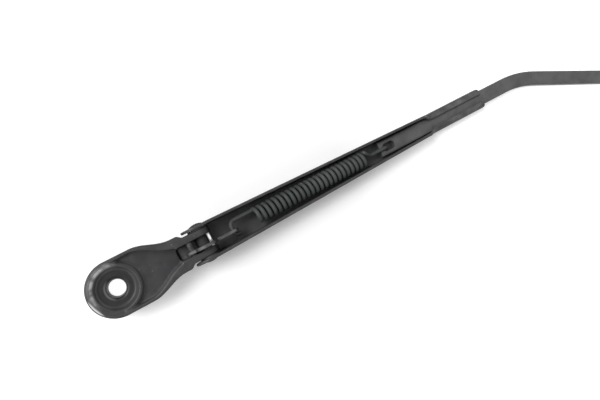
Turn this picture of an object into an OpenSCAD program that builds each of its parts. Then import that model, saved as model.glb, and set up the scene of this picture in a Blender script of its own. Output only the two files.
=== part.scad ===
// Wiper arm, lying on its back with the windscreen side up.
// X runs along the arm from the spindle to the blade, Z points out of the windscreen side.
// The origin is on the spindle axis, level with the face of the bar.

/* [Mounting head] */
// Diameter of the round end
head_d = 28.4; // [27:0.2:32]
// Depth of the outer side of the round end below the origin
head_depth = 8; // [7:0.25:11]
// Thickness of the skirt round the windscreen side
skirt_t = 1.8; // [1.2:0.1:2.6]
// Radius on the edge of the outer side
head_edge_r = 2.6; // [1:0.2:3.4]
// Where the straight sides of the head end and the taper to the neck begins
taper_x = 13; // [8:0.5:16]
// Where the taper reaches the neck
neck_x = 32; // [27:0.5:33]
// Width of the neck
neck_w = 18.4; // [17:0.2:21]
// Where the neck ends in its shoulder
shoulder_x = 35.6; // [34:0.2:36]
// Length of the slanted shoulder
shoulder_slant = 1.7; // [0.5:0.1:1.9]
// Level of the floor web at the ring
floor_z = 4.6; // [3:0.2:5.5]
// Level of the floor web at its hinge end
floor_low_z = 1.6; // [0.5:0.1:3]
// Where the floor web ends in the slot
floor_end_x = 32.5; // [28:0.5:33.5]

/* [Spindle seat] */
// Diameter of the plain bore for the threaded end of the spindle
bore_d = 8.3; // [8.1:0.1:8.7]
// Length of the plain bore
bore_land = 2.5; // [2:0.1:3.5]
// Depth of the nut seat below the origin
nut_seat_z = 1.5; // [1:0.1:1.8]
// Diameter of the wide end of the tapered bore
cone_d = 9.8; // [9.2:0.1:10.6]
// Level of the wide end of the tapered bore
cone_z = 4.6; // [3.5:0.1:5.2]
// Diameter of the nut well in the outer side
nut_well_d = 19.2; // [17:0.2:21]
// Diameter of the recess round the tapered bore
recess_d = 17.6; // [17.4:0.1:18.4]
// Diameter of the crest of the ring round the recess
ring_d = 22.6; // [21.4:0.2:23.4]
// Gap from the crest of the ring down from the rim
ring_drop = 0.7; // [0.3:0.1:1.2]

/* [Hinge] */
// Distance from the spindle axis to the hinge axis
hinge_x = 46.4; // [46:0.1:48]
// Diameter of the hinge pin
hinge_pin_d = 6.2; // [5.2:0.1:6.4]
// Diameter of the round heads of the hinge pin
rivet_head_d = 7.8; // [7.2:0.1:9.6]
// Height of the round heads of the hinge pin
rivet_head_h = 0.9; // [0.7:0.1:2]
// Radius of the rounded ends of the cheeks
cheek_r = 6; // [5.4:0.1:6.4]
// Thickness of each cheek
cheek_t = 3.75; // [3:0.05:3.8]
// Width of the slot between the cheeks
slot_w = 7.1; // [6.8:0.1:7.2]
// Thickness of the closed outer side of the slot
slot_floor_t = 3.4; // [1:0.1:4]
// Where the closed outer side of the slot ends
slot_floor_x = 43.9; // [42:0.1:44.2]
// Wall of the bush between pin and cheek
bush_wall = 0.8; // [0.5:0.05:1]
// Diameter of the flange of the bush
bush_flange_d = 10.4; // [9.4:0.1:11]
// Running clearance between a pin and its bore, on the radius
pin_clearance = 0.05; // [0.03:0.01:0.08]
// Clearance of a pressed part in its seat, on the radius
press_clearance = 0.01; // [0.01:0.005:0.02]
// Clearance between the bush flange and the channel wall
side_clearance = 0.1; // [0.05:0.01:0.2]

/* [Channel] */
// Thickness of the sheet
sheet_t = 1.5; // [1.2:0.05:1.7]
// Outer width of the channel at the hinge
channel_w = 19.3; // [19:0.1:20.6]
// Outer radius of the folded edges
fold_r = 2.2; // [1.8:0.1:2.4]
// Radius of the rounded wall ends round the hinge axis
wall_tip_r = 7.6; // [7.2:0.1:7.9]
// How far the middle of the rounded wall ends lies before the hinge axis
wall_reach = 0.7; // [0:0.1:0.8]
// Where the closed outer side of the channel begins
web_x = 51.7; // [51.2:0.1:53]
// Where the walls begin to fold over the bar
fold_x = 192.5; // [188:0.5:194]
// Height of the walls above the bar where the fold begins
fold_wall_h = 4.7; // [4:0.1:5.4]
// Length over which the walls fold over
fold_len = 6.5; // [6:0.5:10]
// Width of the gap between the two flaps
flap_gap = 4.4; // [3:0.2:5.4]
// Where the channel ends
channel_end_x = 238; // [230:0.5:244]
// Clearance between the channel and the bar in the fold
bar_clearance = 0.2; // [0.1:0.05:0.25]

/* [Bar] */
// Width of the bar
bar_w = 9; // [8:0.1:9.2]
// Thickness of the bar
bar_t = 4; // [3.5:0.1:4.4]
// Radius on the long edges of the bar
bar_edge_r = 0.8; // [0.4:0.1:1]
// Where the inner end of the bar lies
bar_start_x = 160; // [158.5:0.5:160.5]
// Where the oblong hole in the bar begins
bar_hole_x = 162.3; // [162.1:0.1:163]
// Length of the oblong hole
bar_hole_len = 8; // [7:0.1:9]
// Width of the oblong hole
bar_hole_w = 4.7; // [4.2:0.1:5]
// Where the edgewise bend begins
bend_x = 258.5; // [250:0.5:270]
// Radius of the edgewise bend along the middle of the bar
bend_r = 65; // [50:1:90]
// Angle of the edgewise bend
bend_angle = 22; // [15:0.5:30]
// Length of the straight bar between the bend and the hook
tip_len = 160; // [120:1:200]
// Inner radius of the hook for the blade
hook_r = 3.3; // [3:0.1:4]
// Length of the tongue of the hook
hook_len = 13; // [9:0.5:18]

/* [Tension spring] */
// Diameter of the spring wire
wire_d = 2.2; // [1.8:0.1:2.3]
// Outer diameter of the coils
coil_d = 9.7; // [8.6:0.1:10]
// Number of turns
turns = 24; // [18:1:26]
// Pitch of the turns as the spring sits in the arm
pitch = 2.965; // [2.6:0.005:3]
// Distance from the first coil to the hook in the link
lead_len = 14.2; // [12:0.1:16]
// Radius of the bends in the hooks
hook_bend_r = 1.8; // [1.7:0.05:2]
// Gap between the hook and the face of the bar
hook_gap = 0.3; // [0.15:0.05:0.3]
// Gap between the end of the hook and the closed side of the channel
hook_end_gap = 0.6; // [0.3:0.05:1]

/* [Spring link] */
// Distance from the hinge axis to the link pin
link_arm = 7.5; // [7.3:0.1:7.8]
// Angle of the link pin above the hinge axis
link_angle = 25; // [22:0.5:26]
// Diameter of the link pin
link_pin_d = 3.2; // [2.8:0.1:3.4]
// Thickness of the link
link_t = 1.6; // [1.2:0.1:2.2]
// How far the middle of the link lies to one side of the slot
link_offset = 1.8; // [1.5:0.05:2.3]
// Distance from the link pin to the hole for the spring
link_len = 22.8; // [21:0.1:24]
// Width of the link along its straight part
link_w = 5.2; // [4.4:0.1:5.6]
// Width of the link in its bow
bow_w = 2.5; // [2:0.1:3]
// Radius of the eye round the link pin
link_eye_r = 3.7; // [3.2:0.1:3.8]
// How far the link swings about its pin
link_swing = 47; // [35:1:48]
// Clearance between the bow and the hinge pin
bow_clearance = 0.4; // [0.3:0.05:0.6]
// Clearance of the spring wire in the hole of the link, on the radius
wire_clearance = 0.4; // [0.3:0.05:0.5]

/* [Hidden] */
$fn = 48;

eps = 0.01;
far = 60;
paint = [0.09, 0.09, 0.1];
bar_paint = [0.2, 0.2, 0.21];
steel = [0.5, 0.5, 0.52];
spring_green = [0.17, 0.21, 0.19];
nylon = [0.13, 0.12, 0.11];

// Levels
channel_back = -(bar_t + sheet_t);
hinge_z = channel_back + wall_tip_r;
rim_z = hinge_z + cheek_r;
ring_z = rim_z - ring_drop;
wall_top_z = hinge_z + wall_tip_r;
flap_top_z = bar_clearance / 2 + sheet_t;

// Head
head_r = head_d / 2;
neck_back = hinge_z - cheek_r;
neck_bottom = channel_back;
cheek_y = slot_w / 2 + cheek_t;
recess_r = recess_d / 2;
ring_r = ring_d / 2;
ring_flat = 0.4;
ring_slope_max = 2.1;
skirt_least = 0.5;
ring_slope_w = min(ring_slope_max, head_r - ring_r - skirt_least);
ring_foot_r = ring_r + ring_slope_w;
ring_over = 0.02;
rim_round = 0.5;
draft = 0.4;
loft_steps = 12;
corner_steps = 6;
pan_step = 0.6;
pan_end_wall = neck_w / 2 - slot_w / 2 - pan_step;
slot_corner_r = 1.2;
cheek_lap = 3;
cut_over = 1;
join_lap = 0.4;
join_step = 0.01;
edge_steps = 8;
round_steps = 32;
dome_steps = 5;

// Hinge
pin_r = hinge_pin_d / 2;
wall_y = channel_w / 2;
wall_inner_y = wall_y - sheet_t;
bush_r = pin_r + pin_clearance + bush_wall;
bush_bore_r = pin_r + pin_clearance;
flange_t = wall_inner_y - side_clearance - cheek_y;

// Channel plan
tip_x = hinge_x - wall_reach;
fold_y = bar_w / 2 + bar_clearance + sheet_t;
crimp_x = fold_x + fold_len;
crimp_edge_r = 2;
crimp_corner_r = 1.3;
open_lean = 0.6;
wall_steps = 2;
web_relief = 0.03;
web_lip = 0.3;
fold_steps = 6;
bend_steps = 2;
sheet_corner_steps = 3;
bend_z = flap_top_z - crimp_edge_r;
bend_run = crimp_edge_r * PI / 2;
flap_run = fold_y - crimp_edge_r - flap_gap / 2;

// Link and spring line, from the link pin to the hook over the bar
link_pin_at = [hinge_x - link_arm * cos(link_angle), hinge_z + link_arm * sin(link_angle)];
wire_r = wire_d / 2;
hook_at = [bar_hole_x, hook_gap + wire_r];
line_len = norm(hook_at - link_pin_at);
line_tilt = atan2(link_pin_at[1] - hook_at[1], hook_at[0] - link_pin_at[0]);
link_pin_r = link_pin_d / 2;
link_hole_r = wire_r + wire_clearance;

// Hinge axis as the link sees it: distance, and its angle at rest and at the end of the swing
bow_reach = pin_r + bow_clearance;
hinge_angle_rest = line_tilt - link_angle;
hinge_angle_end = hinge_angle_rest + link_swing;
bow_foot_angle = asin(link_w / 2 / (link_arm + bow_reach + bow_w));
bow_steps = 14;
bow_corner = 0.9;
eye_start = 30;
eye_stop = -245;
cap_start = 165;
cap_stop = 190;

// Spring in the frame of the spring line: the link pin at the origin, the line along X
coil_r = (coil_d - wire_d) / 2;
coil_x = link_len + lead_len;
coil_start = 10;
coil_end = 360 * turns + 30;
turn_steps = 18;
wire_sides = 9;
hook_steps = 7;
bend_k = 0.55;
link_face_y = -link_offset - link_t / 2;
tail_bend_r = 1.7;
tail_len = 3.2;
run_bend_r = 3;
run_inset = 0.45;
run_y = coil_r - run_inset;
run_z = -0.8;
run_gap = 1.9;
lead_turn = 20;
lead_ease = 1.2;
line_gap = 5.2;
hook_back = 0.35;

// Points on an arc in a plane
function arc(c, r, a0, a1, n) = [for (i = [0:n]) let (a = a0 + (a1 - a0) * i / n) c + r * [cos(a), sin(a)]];
function mix(a, b, t) = a + (b - a) * t;
function ease(t) = (1 - cos(180 * t)) / 2;

// One side of the head's outline across the arm, from its back to its rim
function head_side(w, back) = concat(
    arc([w - draft - head_edge_r, back + head_edge_r], head_edge_r, -90, 0, corner_steps),
    [[w, rim_z - rim_round], [w - rim_round, rim_z]]);

// Closed outline across the arm at a place along it, from one side of it
function ring_at(x, h) = concat(
    [for (p = h) [x, p[0], p[1]]],
    [for (i = [len(h) - 1:-1:0]) [x, -h[i][0], h[i][1]]]);

// Half width and back level of the head between the straight sides and the shoulder
function taper(x) = ease(min(1, max(0, (x - taper_x) / (neck_x - taper_x))));
function head_w(x) = mix(head_r, neck_w / 2, taper(x));
function head_back(x) = mix(-head_depth, neck_bottom, taper(x));

// Solid skin through closed outlines that all have the same number of points, each
// running clockwise as seen along the way from the first outline to the last
module skin(rings) {
    n = len(rings[0]);
    m = len(rings);
    polyhedron(
        points = [for (r = rings) each r],
        faces = concat(
            [[for (i = [0:n - 1]) i]],
            [for (j = [0:m - 2], i = [0:n - 1]) [j * n + i, (j + 1) * n + (i + 1) % n, j * n + (i + 1) % n]],
            [for (j = [0:m - 2], i = [0:n - 1]) [j * n + i, (j + 1) * n + i, (j + 1) * n + (i + 1) % n]],
            [[for (i = [n - 1:-1:0]) (m - 1) * n + i]]));
}

// Cylinder across the arm at a point of its side view
module across(at, r, y0, y1) {
    translate([at[0], y1, at[1]])
        rotate([90, 0, 0])
            cylinder(h = y1 - y0, r = r);
}

// Side view outline given as X and Z, made solid across the arm
module side_plate(y0, y1) {
    translate([0, y1, 0])
        rotate([90, 0, 0])
            linear_extrude(y1 - y0)
                children();
}

// Round end as a half turn, then a loft along the straight sides, the taper and the shoulder
module head_outer() {
    rotate([0, 0, 90])
        rotate_extrude(angle = 180, $fn = 96)
            polygon(concat([[0, -head_depth]], head_side(head_r, -head_depth), [[0, rim_z]]));
    taper_places = [for (i = [0:loft_steps]) mix(taper_x, neck_x, i / loft_steps)];
    skin(concat(
        [for (x = concat([-join_lap], taper_places, [shoulder_x]))
            ring_at(x, head_side(head_w(x) - join_step, head_back(x) + join_step))],
        [ring_at(shoulder_x + shoulder_slant, head_side(cheek_y + draft, neck_bottom))]));
}

// Plan of the pan on the windscreen side, inside the skirt
module pan_plan() {
    side = [for (i = [0:loft_steps]) let (t = i / loft_steps, x = mix(taper_x, floor_end_x, t))
        [x, head_w(x) - mix(skirt_t, pan_end_wall, t)]];
    polygon(concat(
        arc([0, 0], head_r - skirt_t, 270, 90, round_steps),
        side,
        [for (i = [loft_steps:-1:0]) [side[i][0], -side[i][1]]]));
}

// Hollow of the windscreen side, with a floor that slopes down to the slot
module pan_cut() {
    end_x = floor_end_x + cut_over;
    intersection() {
        translate([0, 0, floor_low_z - cut_over])
            linear_extrude(far)
                pan_plan();
        side_plate(-far, far)
            polygon([[-far, floor_z], [ring_foot_r, floor_z], [end_x, floor_low_z],
                     [end_x, far], [-far, far]]);
    }
}

// Ring whose outer side runs down to the floor of the pan
module ring() {
    rotate_extrude($fn = 96)
        polygon(concat(
            [[recess_r - cut_over, floor_z - cut_over], [ring_foot_r, floor_z - cut_over]],
            [for (i = [edge_steps:-1:0]) let (t = i / edge_steps)
                [mix(ring_r + ring_flat / 2, ring_foot_r, t), mix(ring_z, floor_z, ease(t))]],
            [[recess_r - cut_over, ring_z]]));
}

// Dished recess inside the ring
module recess_cut() {
    rotate_extrude($fn = 96)
        polygon(concat(
            [[0, cone_z]],
            [for (i = [0:edge_steps]) let (t = i / edge_steps)
                [mix(recess_r, ring_r - ring_flat / 2, t), mix(cone_z, ring_z + ring_over, ease(t))]],
            [[ring_r - ring_flat / 2, far], [0, far]]));
}

// Slot between the cheeks, open on the windscreen side, with rounded corners at its closed end
module slot_cut() {
    r = slot_corner_r;
    y = slot_w / 2;
    translate([0, 0, neck_back + slot_floor_t])
        linear_extrude(far)
            polygon(concat(
                arc([floor_end_x + r, r - y], r, 270, 180, edge_steps),
                arc([floor_end_x + r, y - r], r, 180, 90, edge_steps),
                [[far, y], [far, -y]]));
}

// Two cheeks with round ends that carry the hinge pin
module cheeks() {
    for (y = [-cheek_y, slot_w / 2])
        side_plate(y, y + cheek_t)
            polygon(concat(
                [[shoulder_x - cheek_lap, neck_back]],
                arc([hinge_x, hinge_z], cheek_r, -90, 90, round_steps),
                [[shoulder_x - cheek_lap, rim_z]]));
}

module mounting_head() {
    color(paint)
    difference() {
        union() {
            difference() {
                head_outer();
                pan_cut();
            }
            ring();
            cheeks();
            translate([shoulder_x - cut_over, -slot_w / 2 - cut_over, neck_back])
                cube([slot_floor_x - shoulder_x + cut_over, slot_w + 2 * cut_over, slot_floor_t]);
        }
        slot_cut();
        recess_cut();
        // tapered bore, plain bore and nut well
        translate([0, 0, bore_land - nut_seat_z])
            cylinder(h = cone_z - bore_land + nut_seat_z + eps, r1 = bore_d / 2, r2 = cone_d / 2);
        translate([0, 0, -far])
            cylinder(h = 2 * far, r = bore_d / 2);
        translate([0, 0, -far])
            cylinder(h = far - nut_seat_z, r = nut_well_d / 2);
        // bores for the bushes and the link pin
        across([hinge_x, hinge_z], bush_r, -far, far);
        across(link_pin_at, link_pin_r, -far, far);
    }
}

module link_pin() {
    color(steel)
        across(link_pin_at, link_pin_r - press_clearance, -cheek_y, cheek_y);
}

module hinge_bush() {
    difference() {
        union() {
            across([hinge_x, hinge_z], bush_r - press_clearance, slot_w / 2, cheek_y + eps);
            across([hinge_x, hinge_z], bush_flange_d / 2, cheek_y, cheek_y + flange_t);
        }
        across([hinge_x, hinge_z], bush_bore_r, 0, far);
    }
}

module hinge_bush_left() {
    color(nylon)
        hinge_bush();
}

module hinge_bush_right() {
    color(nylon)
        mirror([0, 1, 0])
            hinge_bush();
}

// Shank with a round head on each side of the channel
module hinge_pin() {
    dome_r = (rivet_head_d * rivet_head_d / 4 + rivet_head_h * rivet_head_h) / (2 * rivet_head_h);
    dome_a = asin(rivet_head_d / 2 / dome_r);
    dome_low = dome_a / (dome_steps + 1);
    dome_y = wall_y + rivet_head_h - dome_r;
    color(steel)
    translate([hinge_x, 0, hinge_z])
        rotate([-90, 0, 0])
            rotate_extrude()
                polygon(concat(
                    [[0, -dome_y - dome_r]],
                    arc([0, -dome_y], dome_r, dome_low - 90, dome_a - 90, dome_steps),
                    [[pin_r, -wall_y], [pin_r, wall_y]],
                    arc([0, dome_y], dome_r, 90 - dome_a, 90 - dome_low, dome_steps),
                    [[0, dome_y + dome_r]]));
}

// Half the section of the pressing past the hinge, from its back round the edge of the wall
// to its inner floor: w is the outer half width, turn how far the wall is folded over the bar,
// and run the straight length of the wall or flap past the fold
function fold_point(w, turn, t, depth) = let (r = bend_run / (turn * PI / 180))
    [w - r, bend_z] + (r - depth) * [cos(turn * t), sin(turn * t)];
function wall_section(w, turn, run) = concat(
    arc([w - fold_r, channel_back + fold_r], fold_r, -90, 0, sheet_corner_steps),
    [for (i = [0:bend_steps]) fold_point(w, turn, i / bend_steps, 0)],
    [for (depth = [0, sheet_t]) fold_point(w, turn, 1, depth) + run * [-sin(turn), cos(turn)]],
    [for (i = [bend_steps:-1:0]) fold_point(w, turn, i / bend_steps, sheet_t)],
    arc([w - fold_r, channel_back + fold_r], fold_r - sheet_t, 0, -90, sheet_corner_steps - 1));

// Half width of the channel, and the top of its walls before the fold
function channel_half(x) = mix(wall_y, fold_y, min(1, max(0, (x - web_x) / (crimp_x - web_x))));
function wall_top(x) = mix(wall_top_z, fold_wall_h, (x - tip_x) / (fold_x - tip_x));

// One stretch of sheet: parallel at the hinge, tapering, folded over the bar, straight to its end
module pressing() {
    wall_places = [for (i = [0:wall_steps]) mix(web_x, fold_x, i / wall_steps)];
    skin(concat(
        [for (x = concat([tip_x - wall_tip_r - cut_over], wall_places))
            ring_at(x, wall_section(channel_half(x), open_lean, wall_top(x) - bend_z - bend_run))],
        [for (i = [1:fold_steps])
            let (x = mix(fold_x, crimp_x, i / fold_steps), turn = mix(open_lean, 90, ease(i / fold_steps)))
            ring_at(x, wall_section(channel_half(x), turn, flap_run))],
        [ring_at(channel_end_x, wall_section(fold_y, 90, flap_run))]));
}

// What is cut away to round a corner of the plan
module corner_cut(r) {
    polygon(concat([[far, -r], [far, far], [-r, far]], arc([-r, -r], r, 90, 0, edge_steps)));
}

module channel() {
    color(paint)
    difference() {
        pressing();
        // round wall ends
        side_plate(-far, far)
            polygon(concat(
                [[0, -far], [tip_x, -far]],
                arc([tip_x, hinge_z], wall_tip_r, 270, 90, round_steps),
                [[tip_x, far], [0, far]]));
        // the closed side begins past the hinge
        translate([0, -wall_inner_y - web_relief, -far])
            cube([web_x, 2 * (wall_inner_y + web_relief), far + channel_back + fold_r - web_lip]);
        across([hinge_x, hinge_z], pin_r + press_clearance, -far, far);
        for (m = [0, 1])
            mirror([0, m, 0])
                translate([channel_end_x, fold_y, -far])
                    linear_extrude(2 * far)
                        corner_cut(crimp_corner_r);
    }
}

// Section of the bar with rounded long edges, centred on its width, face at the top
module bar_section(inset) {
    r = bar_edge_r;
    w = bar_w / 2 - inset;
    low = inset - bar_t;
    translate([-w, low + r])
        square([2 * w, -low - inset - 2 * r]);
    translate([r - w, low])
        square([2 * w - 2 * r, -low - inset]);
    for (x = [r - w, w - r], z = [low + r, -inset - r])
        translate([x, z])
            circle(r = r);
}

// Straight bar along X
module bar_run(len, inset = 0) {
    rotate([90, 0, 90])
        linear_extrude(len)
            bar_section(inset);
}

// Hook for the blade: a half turn over the face of the bar, then the tongue back along it
module hook() {
    translate([0, 0, hook_r])
        rotate([90, 90, 0])
            rotate_extrude(angle = 180, $fn = 96)
                translate([hook_r, 0])
                    rotate([0, 0, 90])
                        bar_section(join_step);
    translate([0, 0, 2 * hook_r + bar_t])
        rotate([0, 0, 180])
            bar_run(hook_len, join_step);
}

module bar() {
    color(bar_paint) {
        difference() {
            translate([bar_start_x, 0, 0])
                bar_run(bend_x - bar_start_x);
            for (x = [bar_hole_w / 2, bar_hole_len - bar_hole_w / 2])
                translate([bar_hole_x + x, 0, -far])
                    cylinder(h = 2 * far, r = bar_hole_w / 2);
            translate([bar_hole_x + bar_hole_w / 2, -bar_hole_w / 2, -far])
                cube([bar_hole_len - bar_hole_w, bar_hole_w, 2 * far]);
        }
        translate([bend_x, -bend_r, 0]) {
            rotate([0, 0, 90])
                mirror([0, 1, 0])
                    rotate_extrude(angle = bend_angle, $fn = 180)
                        translate([bend_r, 0])
                            bar_section(0);
            rotate([0, 0, -bend_angle])
                translate([-join_lap, bend_r, 0]) {
                    bar_run(tip_len + join_lap, join_step);
                    translate([tip_len + join_lap, 0, 0])
                        hook();
                }
        }
    }
}

// Link outline in the frame of the spring line: the link pin at the origin, the line along X
module link_outline() {
    outer = link_arm + bow_reach;
    cap = link_arm * [cos(hinge_angle_end), sin(hinge_angle_end)];
    difference() {
        // eye, bow that clears the hinge pin over the whole swing, straight part with a round end
        polygon(concat(
            arc([0, 0], link_eye_r, eye_start, eye_stop, 2 * bow_steps),
            arc(cap, bow_reach + bow_w, cap_start, hinge_angle_end, bow_steps),
            arc([0, 0], outer + bow_w, hinge_angle_end, bow_foot_angle, bow_steps),
            arc([link_len, 0], link_w / 2, 90, -90, bow_steps),
            [[outer + bow_corner, -link_w / 2], [outer, bow_corner - link_w / 2]],
            arc([0, 0], outer, 0, hinge_angle_end, bow_steps),
            arc(cap, bow_reach, hinge_angle_end, cap_stop, bow_steps)));
        circle(r = link_pin_r + pin_clearance);
        translate([link_len, 0])
            circle(r = link_hole_r);
    }
}

// Places its children in the frame of the spring line
module on_line() {
    translate([link_pin_at[0], 0, link_pin_at[1]])
        rotate([0, line_tilt, 0])
            children();
}

module spring_link() {
    color(paint)
        on_line()
            side_plate(-link_offset - link_t / 2, -link_offset + link_t / 2)
                link_outline();
}

// Centre line of the spring, from its end in the link to its end in the bar
function helix(a) = [coil_x + pitch * a / 360, coil_r * cos(a), coil_r * sin(a)];
function helix_dir(a) = [pitch / 360, -coil_r * sin(a) * PI / 180, coil_r * cos(a) * PI / 180];
function bend(p0, d0, p1, d1, n) = [for (i = [1:n]) let (t = i / n, u = 1 - t)
    u * u * u * p0 + 3 * u * u * t * (p0 + d0) + 3 * u * t * t * (p1 - d1) + t * t * t * p1];

tail_end = [link_len + tail_len, link_face_y - tail_bend_r, 0];
tail_turn = [link_len + tail_bend_r, link_face_y - tail_bend_r, 0];
eye_in = [link_len, link_face_y, 0];
eye_out = [link_len, run_y - run_bend_r, 0];
run_from = [link_len + run_bend_r, run_y, run_z];
run_to = [coil_x - run_gap, run_y, run_z];
coil_from = helix(coil_start);
coil_to = helix(coil_end);
coil_rings = round((coil_end - coil_start) / 360 * turn_steps);
line_from = [coil_to[0] + line_gap, 0, 0];
hook_turn = [line_len - hook_back, 0, 0];
hook_down = hook_turn + [hook_bend_r, 0, -hook_bend_r];
hook_end = [hook_down[0], 0, hook_end_gap - hook_at[1] - bar_t];

spring_path = concat(
    [tail_end, tail_turn],
    bend(tail_turn, [-tail_bend_r * bend_k, 0, 0], eye_in, [0, tail_bend_r * bend_k, 0], hook_steps),
    [eye_out],
    bend(eye_out, [0, run_bend_r * bend_k, 0], run_from, [run_bend_r * bend_k, 0, 0], hook_steps),
    [run_to],
    bend(run_to, [lead_ease, 0, 0], coil_from, helix_dir(coil_start) * lead_turn, hook_steps),
    [for (i = [1:coil_rings]) helix(mix(coil_start, coil_end, i / coil_rings))],
    bend(coil_to, helix_dir(coil_end) * lead_turn, line_from, [2 * lead_ease, 0, 0], hook_steps),
    [hook_turn],
    bend(hook_turn, [hook_bend_r * bend_k, 0, 0], hook_down, [0, 0, -hook_bend_r * bend_k], hook_steps),
    [hook_end]);

function unit(v) = v / norm(v);
function heading(p, i) = unit(p[min(i + 1, len(p) - 1)] - p[max(i - 1, 0)]);
function square_to(v, t) = unit(v - t * (v * t));

// Round wire along a path
module wire(path, r, sides) {
    last = len(path) - 1;
    sides_up = [for (i = 0, v = square_to([0, 0, 1], heading(path, 0)); i <= last;
                     i = i + 1, v = square_to(v, heading(path, i))) v];
    skin([for (i = [0:last]) let (v = sides_up[i], w = cross(heading(path, i), v))
        [for (k = [0:sides - 1]) path[i] + r * (v * cos(360 * k / sides) + w * sin(360 * k / sides))]]);
}

module tension_spring() {
    color(spring_green)
        on_line()
            wire(spring_path, wire_r, wire_sides);
}

mounting_head();
link_pin();
hinge_bush_left();
hinge_bush_right();
hinge_pin();
channel();
bar();
spring_link();
tension_spring();
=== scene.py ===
import bpy
import bmesh
import math
from mathutils import Matrix, Vector


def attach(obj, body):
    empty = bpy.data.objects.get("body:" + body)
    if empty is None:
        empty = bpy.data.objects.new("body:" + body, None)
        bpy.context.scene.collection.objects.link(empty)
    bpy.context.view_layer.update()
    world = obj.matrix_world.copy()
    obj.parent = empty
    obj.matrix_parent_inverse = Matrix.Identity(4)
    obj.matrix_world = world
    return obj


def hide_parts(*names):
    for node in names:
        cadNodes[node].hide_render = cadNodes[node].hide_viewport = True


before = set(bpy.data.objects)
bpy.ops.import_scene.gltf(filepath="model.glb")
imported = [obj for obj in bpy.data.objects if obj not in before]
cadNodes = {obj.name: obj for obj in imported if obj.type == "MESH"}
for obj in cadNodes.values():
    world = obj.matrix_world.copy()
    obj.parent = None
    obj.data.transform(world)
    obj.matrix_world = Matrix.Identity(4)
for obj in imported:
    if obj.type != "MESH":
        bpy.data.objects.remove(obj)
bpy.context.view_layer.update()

mm = 0.001
print("frame loaded")


# Node helpers

def newMaterial(name):
    material = bpy.data.materials.new(name)
    material.use_nodes = True
    material.node_tree.nodes.clear()
    return material, material.node_tree


def plug(tree, socket, value):
    if isinstance(value, bpy.types.NodeSocket):
        tree.links.new(value, socket)
    else:
        socket.default_value = value


def noise(tree, place, size, detail):
    # size is that of one patch, in mm
    node = tree.nodes.new("ShaderNodeTexNoise")
    node.inputs["Scale"].default_value = 1 / (size * mm)
    node.inputs["Detail"].default_value = detail
    tree.links.new(place, node.inputs["Vector"])
    return node.outputs["Fac"]


def remap(tree, value, low, high, toLow=0.0, toHigh=1.0):
    node = tree.nodes.new("ShaderNodeMapRange")
    plug(tree, node.inputs["Value"], value)
    node.inputs["From Min"].default_value = low
    node.inputs["From Max"].default_value = high
    node.inputs["To Min"].default_value = toLow
    node.inputs["To Max"].default_value = toHigh
    return node.outputs["Result"]


def calc(tree, operation, a, b=0.0, clamp=True):
    node = tree.nodes.new("ShaderNodeMath")
    node.operation = operation
    node.use_clamp = clamp
    plug(tree, node.inputs[0], a)
    plug(tree, node.inputs[1], b)
    return node.outputs["Value"]


def times(tree, first, *others):
    product = first
    for other in others:
        product = calc(tree, "MULTIPLY", product, other)
    return product


def vectorCalc(tree, operation, output, a, b=None):
    node = tree.nodes.new("ShaderNodeVectorMath")
    node.operation = operation
    tree.links.new(a, node.inputs[0])
    if b:
        node.inputs[1].default_value = b
    return node.outputs[output]


def split(tree, vector):
    node = tree.nodes.new("ShaderNodeSeparateXYZ")
    tree.links.new(vector, node.inputs["Vector"])
    return node.outputs


def blend(tree, factor, a, b):
    node = tree.nodes.new("ShaderNodeMix")
    node.data_type = "RGBA"
    sockets = {socket.identifier: socket for socket in node.inputs}
    plug(tree, sockets["Factor_Float"], factor)
    plug(tree, sockets["A_Color"], (*a, 1) if isinstance(a, tuple) else a)
    plug(tree, sockets["B_Color"], (*b, 1) if isinstance(b, tuple) else b)
    return [socket for socket in node.outputs if socket.identifier == "Result_Color"][0]


def seenRays(tree):
    # camera rays, and those that shiny surfaces send on
    rays = tree.nodes.new("ShaderNodeLightPath")
    sentOn = calc(tree, "ADD", rays.outputs["Is Glossy Ray"], rays.outputs["Is Transmission Ray"])
    return calc(tree, "ADD", rays.outputs["Is Camera Ray"], sentOn)


# Materials

headPaint = {
    "dark": (0.020, 0.020, 0.021),
    "light": (0.033, 0.033, 0.035),
    "dust": (0.197, 0.197, 0.197),
    "dustAmount": 0.10,
    "edge": (0.152, 0.152, 0.152),
    "roughness": 0.40,
    "specular": 0.26,
    "grainDepth": 0.018,
    # painted light on the walls that face the middle line, lifting the shade along them
    "innerWallLight": (0.070, 0.070, 0.071),
    # it takes the painted light and shade around the spindle bore listed below
    "spindleLightAndShade": True,
}
channelPaint = {
    "dark": (0.024, 0.024, 0.025),
    "light": (0.038, 0.038, 0.040),
    "dust": (0.227, 0.227, 0.227),
    "dustAmount": 0.12,
    "edge": (0.152, 0.152, 0.152),
    "roughness": 0.42,
    "specular": 0.26,
    "grainDepth": 0.018,
    # the crimp at the far end takes more of the dust colour and comes out lighter: where it begins along x,
    # and how much of it it takes
    "lighterFrom": (186, 204),
    "lighterAmount": 0.52,
    # painted light on the walls that face the middle line, lifting the shade along them
    "innerWallLight": (0.070, 0.070, 0.071),
}
linkPaint = {
    "dark": (0.022, 0.022, 0.023),
    "light": (0.038, 0.038, 0.040),
    "dust": (0.200, 0.200, 0.202),
    "dustAmount": 0.85,
    "edge": (0.152, 0.152, 0.152),
    "roughness": 0.42,
    "specular": 0.25,
    "grainDepth": 0.010,
}
barPaint = {
    "dark": (0.061, 0.061, 0.062),
    "light": (0.088, 0.088, 0.091),
    "dust": (0.242, 0.242, 0.242),
    "dustAmount": 0.22,
    "edge": (0.212, 0.212, 0.212),
    "roughness": 0.46,
    "specular": 0.28,
    "grainDepth": 0.014,
}
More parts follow.
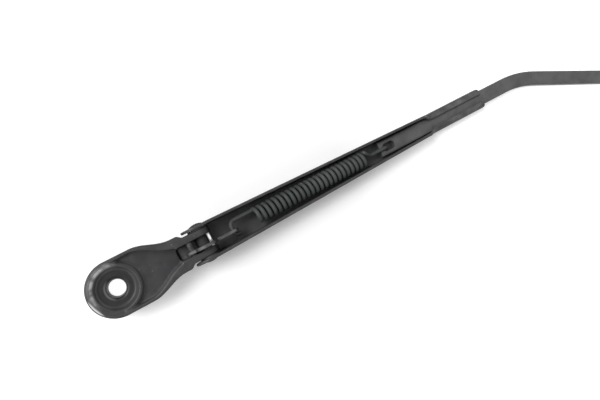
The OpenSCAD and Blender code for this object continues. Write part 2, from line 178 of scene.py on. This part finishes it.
springSteel = {
    "dark": (0.048, 0.052, 0.052),
    "light": (0.067, 0.071, 0.071),
    "dust": (0.136, 0.144, 0.136),
    "dustAmount": 0.10,
    "edge": (0.121, 0.136, 0.129),
    "roughness": 0.55,
    "specular": 0.18,
    "grainDepth": 0.006,
    # painted shade where the tail turns out of the link: start and end along x, and side
    "tailShade": (58, 69, -2.9),
    "tailShadeColour": (0.015, 0.015, 0.015),
}
# dark steel, kept darker than bare steel as painted shade for the pins down in the slot
pinSteel = {
    "dark": (0.026, 0.026, 0.026),
    "light": (0.042, 0.042, 0.042),
    "dust": (0.091, 0.091, 0.088),
    "dustAmount": 0.05,
    "edge": (0.121, 0.121, 0.121),
    "roughness": 0.6,
    "specular": 0.06,
    "grainDepth": 0.006,
}
bushPlastic = {
    "dark": (0.030, 0.029, 0.027),
    "light": (0.052, 0.048, 0.045),
    "dust": (0.152, 0.152, 0.136),
    "dustAmount": 0.2,
    "edge": (0.091, 0.091, 0.091),
    "roughness": 0.55,
    "specular": 0.4,
    "grainDepth": 0.006,
}

# painted light and shade on the head, in mm from the middle of the spindle bore. A pair runs from where
# there is none of it to where it is full, and a ring is its radius, half width and fade
spindleLightAndShade = {
    "rimHeight": (3.2, 4.2),
    # painted shade darkens the recess
    "shadeRadius": (9.6, 8.2),
    "shadeColour": (0.008, 0.008, 0.009),
    # painted light lifts the shade on the slopes of the ring and of its recess, most on those that turn from
    # the window
    "slopeRadius": (16.5, 15),
    "slopeStart": (6.0, 8.0),
    "slopeTilt": (0.97, 0.72),
    "slopeLightColour": (0.050, 0.050, 0.052),
    "leeWay": (0.87, -0.5, 0),
    "leeTurn": (0.0, 0.45),
    "leeLightColour": (0.125, 0.125, 0.127),
    # painted light on the floor of the slot for the link, lifting its shade
    "slotStart": (32.6, 33.6),
    "slotEnd": (45.5, 44.5),
    "slotHalf": (4.1, 3.8),
    "slotLightColour": (0.060, 0.060, 0.061),
    # painted highlight on the rim of the bore, on its left
    "boreRing": (4.8, 0.7, 0.7),
    "boreWay": (-1, 0, 0),
    "boreReach": (2.0, 5.0),
    "boreHeight": (1.6, 2.2),
    "boreHighlightColour": (0.136, 0.136, 0.138),
    # painted highlight on the ring's upper left, in patches
    "highlightRing": (11.6, 0.7, 1.0),
    "highlightWay": (-0.75, 0.66, 0),
    "highlightReach": (3, 9),
    "highlightColour": (0.394, 0.394, 0.402),
    # and a painted reflection on its lower left
    "reflectionRing": (12.9, 0.3, 0.4),
    "reflectionWay": (-0.94, -0.34, 0),
    "reflectionReach": (12.1, 12.9),
    "reflectionColour": (0.682, 0.682, 0.697),
}

# patterns that the finishes share: size of a patch in mm and detail, the part of the noise that
# shows, and what it turns into
patterns = {
    "unevenCoat": (14, 5, 0.35, 0.65, 0.0, 1.0),
    "dustPatches": (6, 6, 0.38, 0.66, 0.25, 1.0),
    "edgePatches": (2.5, 4, 0.40, 0.62, 0.15, 0.8),
    "speckPatches": (9, 2, 0.56, 0.62, 0.0, 1.0),
    "ringPatches": (4, 4, 0.36, 0.6, 0.25, 1.0),
    "roughPatches": (3, 5, 0.3, 0.7, -0.07, 0.1),
}
# limits for the wear and dust, and for the painted light on inner walls and the painted shade at the
# spring's tail
wearAndShadeLimits = {
    "faceUp": (0.55, 0.98),
    "edge": (0.53, 0.60),
    "innerWallLight": (-0.25, -0.75),
    "speckSpacing": 4.5,
    "speckSize": (0.09, 0.04),
    "speckAmount": 0.45,
    "speckColour": (0.38, 0.38, 0.38),
    "tailShadeFade": 1.0,
    "tailShadeSideFade": 0.5,
}
# fine grain over a slight waviness: size in mm, detail and share
grain = {
    "fine": (0.45, 3, 0.6),
    "wavy": (2.2, 2, 0.4),
    "strength": 0.5,
    "depthScale": 4,
}


def patches(tree, place, kind, base=0.0):
    size, detail, low, high, toLow, toHigh = patterns[kind]
    return remap(tree, noise(tree, place, size, detail), low, high, base + toLow, base + toHigh)


# painted light and shade on the head around the spindle bore
def paintSpindleLightAndShade(tree, where, normal, facing, colour):
    paintedShading = spindleLightAndShade
    flatNode = tree.nodes.new("ShaderNodeCombineXYZ")
    tree.links.new(where["X"], flatNode.inputs["X"])
    tree.links.new(where["Y"], flatNode.inputs["Y"])
    flat = flatNode.outputs["Vector"]
    radius = vectorCalc(tree, "LENGTH", "Value", flat)

    def fade(value, pair):
        return remap(tree, value, pair[0] * mm, pair[1] * mm)

    def ring(sizes):
        middle, half, soft = sizes
        off = calc(tree, "ABSOLUTE", calc(tree, "SUBTRACT", radius, middle * mm, False))
        return fade(off, (half + soft, half))

    def toward(way, reach):
        return fade(vectorCalc(tree, "DOT_PRODUCT", "Value", flat, way), reach)

    high = fade(where["Z"], paintedShading["rimHeight"])
    # painted shade in the recess
    recessShade = times(tree, fade(radius, paintedShading["shadeRadius"]), high)
    colour = blend(tree, recessShade, colour, paintedShading["shadeColour"])

    # painted light on the slopes, most on those that turn from the window
    lee = vectorCalc(tree, "DOT_PRODUCT", "Value", normal, paintedShading["leeWay"])
    slopeLight = blend(tree, remap(tree, lee, *paintedShading["leeTurn"]), paintedShading["slopeLightColour"], paintedShading["leeLightColour"])
    slope = times(tree, remap(tree, facing["Z"], *paintedShading["slopeTilt"]), high,
                  fade(radius, paintedShading["slopeRadius"]), fade(radius, paintedShading["slopeStart"]))
    colour = blend(tree, slope, colour, slopeLight)

    # painted light lifts the shade in the slot
    across = calc(tree, "ABSOLUTE", where["Y"])
    inSlot = times(tree, fade(where["X"], paintedShading["slotStart"]), fade(where["X"], paintedShading["slotEnd"]),
                   fade(across, paintedShading["slotHalf"]))
    colour = blend(tree, inSlot, colour, paintedShading["slotLightColour"])

    # painted highlight on the left rim of the bore
    boreHighlight = times(tree, ring(paintedShading["boreRing"]), toward(paintedShading["boreWay"], paintedShading["boreReach"]),
                fade(where["Z"], paintedShading["boreHeight"]))
    colour = blend(tree, boreHighlight, colour, paintedShading["boreHighlightColour"])

    # painted highlight on the ring's upper left
    rubbedAndHighlit = times(tree, ring(paintedShading["highlightRing"]), toward(paintedShading["highlightWay"], paintedShading["highlightReach"]),
                   patches(tree, flat, "ringPatches"), high)
    colour = blend(tree, rubbedAndHighlit, colour, paintedShading["highlightColour"])

    # painted reflection on the ring's lower left
    paintedReflection = times(tree, ring(paintedShading["reflectionRing"]), toward(paintedShading["reflectionWay"], paintedShading["reflectionReach"]),
                     high)
    return blend(tree, paintedReflection, colour, paintedShading["reflectionColour"])


def coatColour(tree, place, surface, look):
    where = split(tree, place)
    normal = surface.outputs["Normal"]
    facing = split(tree, normal)

    # broad unevenness of the coat, then dust where the surface faces up
    coat = blend(tree, patches(tree, place, "unevenCoat"), look["dark"], look["light"])
    amount = look["dustAmount"]
    # more of the dust colour towards the crimp, which comes out lighter
    if "lighterFrom" in look:
        start, end = (x * mm for x in look["lighterFrom"])
        amount = remap(tree, where["X"], start, end, amount, look["lighterAmount"])
    faceUp = remap(tree, facing["Z"], *wearAndShadeLimits["faceUp"])
    dust = times(tree, faceUp, patches(tree, place, "dustPatches"), amount)
    colour = blend(tree, dust, coat, look["dust"])

    # rubbed edges and small pale specks
    edge = remap(tree, surface.outputs["Pointiness"], *wearAndShadeLimits["edge"])
    rubbedAndHighlit = times(tree, edge, patches(tree, place, "edgePatches"))
    colour = blend(tree, rubbedAndHighlit, colour, look["edge"])
    cells = tree.nodes.new("ShaderNodeTexVoronoi")
    cells.inputs["Scale"].default_value = 1 / (wearAndShadeLimits["speckSpacing"] * mm)
    tree.links.new(place, cells.inputs["Vector"])
    specks = times(tree, remap(tree, cells.outputs["Distance"], *wearAndShadeLimits["speckSize"]),
                   patches(tree, place, "speckPatches"), wearAndShadeLimits["speckAmount"])
    colour = blend(tree, specks, colour, wearAndShadeLimits["speckColour"])

    # painted light lifts the shade on walls that face the middle line
    if "innerWallLight" in look:
        side = calc(tree, "SIGN", where["Y"], clamp=False)
        outward = calc(tree, "MULTIPLY", side, facing["Y"], clamp=False)
        inward = remap(tree, outward, *wearAndShadeLimits["innerWallLight"])
        colour = blend(tree, inward, colour, look["innerWallLight"])
    # painted shade on the tail where it turns out of the link
    if "tailShade" in look:
        start, end, sideY = (edge * mm for edge in look["tailShade"])
        endFade = wearAndShadeLimits["tailShadeFade"] * mm
        sideFade = wearAndShadeLimits["tailShadeSideFade"] * mm
        tailShade = times(tree, remap(tree, where["X"], start, start + endFade),
                       remap(tree, where["X"], end, end - endFade),
                       remap(tree, where["Y"], sideY, sideY - sideFade))
        colour = blend(tree, tailShade, colour, look["tailShadeColour"])
    # painted light and shade around the spindle bore
    if "spindleLightAndShade" in look:
        colour = paintSpindleLightAndShade(tree, where, normal, facing, colour)
    return colour


def finish(name, look):
    material, tree = newMaterial(name)
    place = tree.nodes.new("ShaderNodeTexCoord").outputs["Object"]
    surface = tree.nodes.new("ShaderNodeNewGeometry")
    shader = tree.nodes.new("ShaderNodeBsdfPrincipled")
    shader.inputs["Specular IOR Level"].default_value = look["specular"]
    tree.links.new(coatColour(tree, place, surface, look), shader.inputs["Base Color"])
    tree.links.new(patches(tree, place, "roughPatches", look["roughness"]), shader.inputs["Roughness"])

    fine, fineDetail, fineShare = grain["fine"]
    wavy, wavyDetail, wavyShare = grain["wavy"]
    relief = calc(tree, "ADD", calc(tree, "MULTIPLY", noise(tree, place, fine, fineDetail), fineShare),
                  calc(tree, "MULTIPLY", noise(tree, place, wavy, wavyDetail), wavyShare))
    bump = tree.nodes.new("ShaderNodeBump")
    bump.inputs["Strength"].default_value = grain["strength"]
    bump.inputs["Distance"].default_value = look["grainDepth"] * grain["depthScale"] * mm
    tree.links.new(relief, bump.inputs["Height"])
    tree.links.new(bump.outputs["Normal"], shader.inputs["Normal"])

    output = tree.nodes.new("ShaderNodeOutputMaterial")
    tree.links.new(shader.outputs["BSDF"], output.inputs["Surface"])
    return material


finishes = {
    "head_paint": finish("headBlackPaint", headPaint),
    "channel_paint": finish("channelBlackPaint", channelPaint),
    "link_paint": finish("linkBlackPaint", linkPaint),
    "bar_paint": finish("dustyGreyPaint", barPaint),
    "spring_steel": finish("darkSpringSteel", springSteel),
    "pin_steel": finish("pinSteel", pinSteel),
    "bush_plastic": finish("bushPlastic", bushPlastic),
}
print("materials made")


# Pieces

weldDistance = 0.002
smoothingShare = 0.5


def softCopy(node, body, name, form):
    # the same solid with the small soft radii that castings and pressings have
    source = bmesh.new()
    source.from_mesh(cadNodes[node].data)
    bmesh.ops.remove_doubles(source, verts=source.verts, dist=weldDistance * mm)
    rough = bpy.data.meshes.new(name + "Rough")
    source.to_mesh(rough)
    source.free()
    piece = bpy.data.objects.new(name, rough)
    bpy.context.scene.collection.objects.link(piece)
    remesh = piece.modifiers.new("remesh", "REMESH")
    remesh.mode = "VOXEL"
    remesh.voxel_size = form["voxel"] * mm
    remesh.use_smooth_shade = True
    soften = piece.modifiers.new("soften", "SMOOTH")
    soften.factor = smoothingShare
    soften.iterations = form["smoothing"]
    ready = piece.evaluated_get(bpy.context.evaluated_depsgraph_get())
    settled = bpy.data.meshes.new_from_object(ready)
    piece.modifiers.clear()
    piece.data = settled
    bpy.data.meshes.remove(rough)
    settled.name = name
    settled.materials.clear()
    settled.materials.append(finishes[form["finish"]])
    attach(piece, body)
    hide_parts(node)
    print(name, len(settled.polygons) * 2, "triangles")


# voxel in mm, and how many rounds of smoothing
headCasting = {
    "voxel": 0.36,
    "smoothing": 26,
    "finish": "head_paint",
}
channelPressing = {
    "voxel": 0.45,
    "smoothing": 3,
    "finish": "channel_paint",
}
flatBar = {
    "voxel": 0.40,
    "smoothing": 2,
    "finish": "bar_paint",
}
springLink = {
    "voxel": 0.16,
    "smoothing": 3,
    "finish": "link_paint",
}
hingeRivet = {
    "voxel": 0.16,
    "smoothing": 3,
    "finish": "pin_steel",
}
softCopy("mounting_head", "head", "headCasting", headCasting)
softCopy("channel", "arm", "channelPressing", channelPressing)
softCopy("bar", "arm", "flatBar", flatBar)
softCopy("spring_link", "link", "springLink", springLink)
softCopy("hinge_pin", "arm", "hingeRivet", hingeRivet)

spring = {
    "wire": 2.2,
    "wireRoundness": 6,
    "coil": 9.7,
    "turns": 24,
    "pitch": 2.965,
    # from the link's hole to the first coil, and the turns that the coil begins and ends past the side
    "firstCoil": 14.2,
    "firstTurn": 10,
    "lastTurn": 30,
    # the run from the link to the coil
    "runInset": 0.45,
    "runLow": -0.8,
    "runRadius": 3,
    "runEnd": 1.9,
    # the tail that turns out behind the link
    "tailLength": 3.2,
    "tailRadius": 1.7,
    # the straight from the coil to the hook in the bar
    "straightStart": 5.2,
    "hookRadius": 1.8,
    "hookBack": 0.35,
    "hookEndZ": -3.4,
    # steps along each turn of the coil and along each bend
    "stepsPerTurn": 40,
    "tailSteps": 10,
    "eyeSteps": 12,
    "coilInSteps": 10,
    "coilOutSteps": 14,
    "hookSteps": 10,
    # how far the ends of a bend follow the straights, as a share of the radius, in mm and in degrees
    "roundHandle": 0.55,
    "runHandle": 1.2,
    "straightHandle": 2.4,
    "coilHandle": 20,
    # where it hangs: the link's pin, the hook in the bar, and the hole in the link on the line between
    "linkPin": (39.6027, 5.2696),
    "barHook": (162.3, 1.4),
    "linkHole": 22.8,
    "linkSide": -2.6,
}


def curveTo(start, leave, end, arrive, steps):
    start, leave, end, arrive = (Vector(v) for v in (start, leave, end, arrive))
    points = []
    for i in range(1, steps + 1):
        t = i / steps
        u = 1 - t
        points.append(u ** 3 * start + 3 * u * u * t * (start + leave)
                      + 3 * u * t * t * (end - arrive) + t ** 3 * end)
    return points


def springPath():
    # along the line from the link's pin to the hook in the bar: x along it, y across, z up
    coilR = (spring["coil"] - spring["wire"]) / 2
    coilX = spring["linkHole"] + spring["firstCoil"]
    lineLength = math.dist(spring["linkPin"], spring["barHook"])

    def helix(angle):
        a = math.radians(angle)
        return Vector((coilX + spring["pitch"] * angle / 360, coilR * math.cos(a), coilR * math.sin(a)))

    def helixWay(angle):
        # the way along the coil for a turn of coilHandle degrees
        a = math.radians(angle)
        turn = math.radians(1) * coilR
        step = Vector((spring["pitch"] / 360, -turn * math.sin(a), turn * math.cos(a)))
        return step * spring["coilHandle"]

    hole, side = spring["linkHole"], spring["linkSide"]
    runY, low = coilR - spring["runInset"], spring["runLow"]
    tailR, runR, hookR = spring["tailRadius"], spring["runRadius"], spring["hookRadius"]
    tailHandle, runHandle, hookHandle = (r * spring["roundHandle"] for r in (tailR, runR, hookR))
    first, last = spring["firstTurn"], 360 * spring["turns"] + spring["lastTurn"]
    steps = round((last - first) / 360 * spring["stepsPerTurn"])

    tailEnd = (hole + spring["tailLength"], side - tailR, 0)
    tailTurn = (hole + tailR, side - tailR, 0)
    eyeIn = (hole, side, 0)
    eyeOut = (hole, runY - runR, 0)
    runFrom = (hole + runR, runY, low)
    runTo = (coilX - spring["runEnd"], runY, low)
    straight = (helix(last).x + spring["straightStart"], 0, 0)
    turnAt = (lineLength - spring["hookBack"], 0, 0)
    downAt = (turnAt[0] + hookR, 0, -hookR)
    hookEnd = (downAt[0], 0, spring["hookEndZ"] - spring["barHook"][1])

    path = [Vector(tailEnd), Vector(tailTurn)]
    path += curveTo(tailTurn, (-tailHandle, 0, 0), eyeIn, (0, tailHandle, 0), spring["tailSteps"])
    path.append(Vector(eyeOut))
    path += curveTo(eyeOut, (0, runHandle, 0), runFrom, (runHandle, 0, 0), spring["eyeSteps"])
    path.append(Vector(runTo))
    path += curveTo(runTo, (spring["runHandle"], 0, 0), helix(first), helixWay(first), spring["coilInSteps"])
    path += [helix(first + i * (last - first) / steps) for i in range(1, steps + 1)]
    path += curveTo(helix(last), helixWay(last), straight, (spring["straightHandle"], 0, 0),
                    spring["coilOutSteps"])
    path.append(Vector(turnAt))
    path += curveTo(turnAt, (hookHandle, 0, 0), downAt, (0, 0, -hookHandle), spring["hookSteps"])
    path.append(Vector(hookEnd))
    return path


def makeSpring():
    pin, hook = spring["linkPin"], spring["barHook"]
    tilt = math.atan2(pin[1] - hook[1], hook[0] - pin[0])
    toFrame = Matrix.Translation((pin[0], 0, pin[1])) @ Matrix.Rotation(tilt, 4, "Y")
    wire = bpy.data.curves.new("tensionSpring", "CURVE")
    wire.dimensions = "3D"
    wire.bevel_depth = spring["wire"] / 2 * mm
    wire.bevel_resolution = spring["wireRoundness"]
    wire.use_fill_caps = True
    path = springPath()
    line = wire.splines.new("POLY")
    line.points.add(len(path) - 1)
    for point, place in zip(line.points, path):
        point.co = (*(toFrame @ place * mm), 1)
    coil = bpy.data.objects.new("tensionSpring", wire)
    bpy.context.scene.collection.objects.link(coil)
    wire.materials.append(finishes["spring_steel"])
    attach(coil, "spring")
    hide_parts("tension_spring")
    print("tensionSpring", len(path), "points")


makeSpring()

# these keep the shape that they come with
keptPieces = {
    "link_pin": "pin_steel",
    "hinge_bush_left": "bush_plastic",
    "hinge_bush_right": "bush_plastic",
}
for name, kind in keptPieces.items():
    for place in cadNodes[name].material_slots:
        place.material = finishes[kind]
print("pieces made")


# Floor, light and camera

floor = {
    # it slopes from below the back of the head to below the tip of the arm
    "headBackX": 13,
    "headBackZ": -8,
    "tipBackX": 438,
    "tipBackZ": -4,
    "drop": 0.05,
    "halfSize": 1500,
    "colour": (0.9, 0.9, 0.9),
    # light of its own that only the camera and reflections see, white away from the part
    "ownLight": 0.16,
    "farLight": 1,
    "farMiddle": (100, 0),
    "farStart": 40,
    "farEnd": 260,
    # lighter spots below the spindle bore and the gap at the hinge, hidden by the part from other
    # sides: centre, half sizes and light of each
    "boreSpot": (0, 0, 9.5, 9.5, 0.95),
    "gapSpot": (51.15, 1.1, 0.62, 2.0, 0.9),
    "spotEdge": 0.85,
}


def spotLight(tree, place, spot):
    x, y, halfX, halfY, light = spot
    away = vectorCalc(tree, "SUBTRACT", "Vector", place, (x * mm, y * mm, floor["headBackZ"] * mm))
    share = vectorCalc(tree, "DIVIDE", "Vector", away, (halfX * mm, halfY * mm, 1))
    length = vectorCalc(tree, "LENGTH", "Value", share)
    return remap(tree, length, 1, floor["spotEdge"], 0, light)


def paleFloor():
    material, tree = newMaterial("paleFloor")
    diffuse = tree.nodes.new("ShaderNodeBsdfDiffuse")
    diffuse.inputs["Color"].default_value = (*floor["colour"], 1)
    place = tree.nodes.new("ShaderNodeTexCoord").outputs["Object"]
    farX, farY = floor["farMiddle"]
    farMiddle = (farX * mm, farY * mm, floor["headBackZ"] * mm)
    far = vectorCalc(tree, "DISTANCE", "Value", place, farMiddle)
    ownLight = remap(tree, far, floor["farStart"] * mm, floor["farEnd"] * mm,
                     floor["ownLight"], floor["farLight"])
    for spot in ("boreSpot", "gapSpot"):
        ownLight = calc(tree, "MAXIMUM", ownLight, spotLight(tree, place, floor[spot]))
    glow = tree.nodes.new("ShaderNodeEmission")
    tree.links.new(times(tree, seenRays(tree), ownLight), glow.inputs["Strength"])
    both = tree.nodes.new("ShaderNodeAddShader")
    tree.links.new(diffuse.outputs["BSDF"], both.inputs[0])
    tree.links.new(glow.outputs["Emission"], both.inputs[1])
    output = tree.nodes.new("ShaderNodeOutputMaterial")
    tree.links.new(both.outputs["Shader"], output.inputs["Surface"])
    return material


def makeFloor():
    slope = (floor["tipBackZ"] - floor["headBackZ"]) / (floor["tipBackX"] - floor["headBackX"])
    reach = floor["halfSize"]
    level = floor["headBackZ"] - floor["drop"]
    corners = [(x * mm, y * mm, (level + slope * (x - floor["headBackX"])) * mm)
               for x, y in ((-reach, -reach), (reach, -reach), (reach, reach), (-reach, reach))]
    mesh = bpy.data.meshes.new("floor")
    mesh.from_pydata(corners, [], [(0, 1, 2, 3)])
    mesh.materials.append(paleFloor())
    plane = bpy.data.objects.new("floor", mesh)
    bpy.context.scene.collection.objects.link(plane)


studio = {
    "colour": (1, 1, 1),
    "light": 0.22,
    # what the camera and reflections see of it
    "seenLight": 1.0,
}


def makeWorld():
    world = bpy.data.worlds.new("studio")
    bpy.context.scene.world = world
    world.use_nodes = True
    tree = world.node_tree
    tree.nodes.clear()
    back = tree.nodes.new("ShaderNodeBackground")
    back.inputs["Color"].default_value = (*studio["colour"], 1)
    strength = remap(tree, seenRays(tree), 0, 1, studio["light"], studio["seenLight"])
    tree.links.new(strength, back.inputs["Strength"])
    output = tree.nodes.new("ShaderNodeOutputWorld")
    tree.links.new(back.outputs["Background"], output.inputs["Surface"])


# where each lamp stands and aims, and its size, in mm
lamps = {
    "window": {"place": (-960, 720, 1500), "aim": (80, 0, 0), "size": 1050, "watts": 39},
    "fill": {"place": (260, -380, 520), "aim": (120, 0, 0), "size": 600, "watts": 0.2},
    "left": {"place": (-420, -100, 160), "aim": (0, 0, 5), "size": 110, "watts": 0.35},
}


def makeLamp(name, lamp):
    light = bpy.data.lights.new(name, "AREA")
    light.size = lamp["size"] * mm
    light.energy = lamp["watts"]
    holder = bpy.data.objects.new(name, light)
    bpy.context.scene.collection.objects.link(holder)
    place = Vector(lamp["place"]) * mm
    holder.location = place
    holder.rotation_mode = "QUATERNION"
    holder.rotation_quaternion = (Vector(lamp["aim"]) * mm - place).to_track_quat("-Z", "Y")


photoCamera = {
    "place": (30.95, 7.82, 253.30),
    # the ways that the picture's right and down edges point
    "right": (0.85076, -0.45486, 0.26329),
    "down": (-0.44870, -0.88946, -0.08675),
    "lens": 28.8,
    "sensorWidth": 36,
    "clipStart": 10,
    "clipEnd": 20000,
}


def makeCamera():
    camera = bpy.data.cameras.new("photoCamera")
    camera.sensor_width = photoCamera["sensorWidth"]
    camera.lens = photoCamera["lens"]
    camera.clip_start = photoCamera["clipStart"] * mm
    camera.clip_end = photoCamera["clipEnd"] * mm
    holder = bpy.data.objects.new("photoCamera", camera)
    bpy.context.scene.collection.objects.link(holder)
    right = Vector(photoCamera["right"]).normalized()
    up = -Vector(photoCamera["down"])
    up = (up - up.dot(right) * right).normalized()
    turn = Matrix((right, up, right.cross(up))).transposed().to_4x4()
    holder.matrix_world = Matrix.Translation(Vector(photoCamera["place"]) * mm) @ turn
    bpy.context.scene.camera = holder


makeFloor()
makeWorld()
for lampName, lampLook in lamps.items():
    makeLamp(lampName, lampLook)
makeCamera()
bpy.context.scene.view_settings.view_transform = "Standard"
print("stage, light and camera set")

bpy.context.view_layer.update()
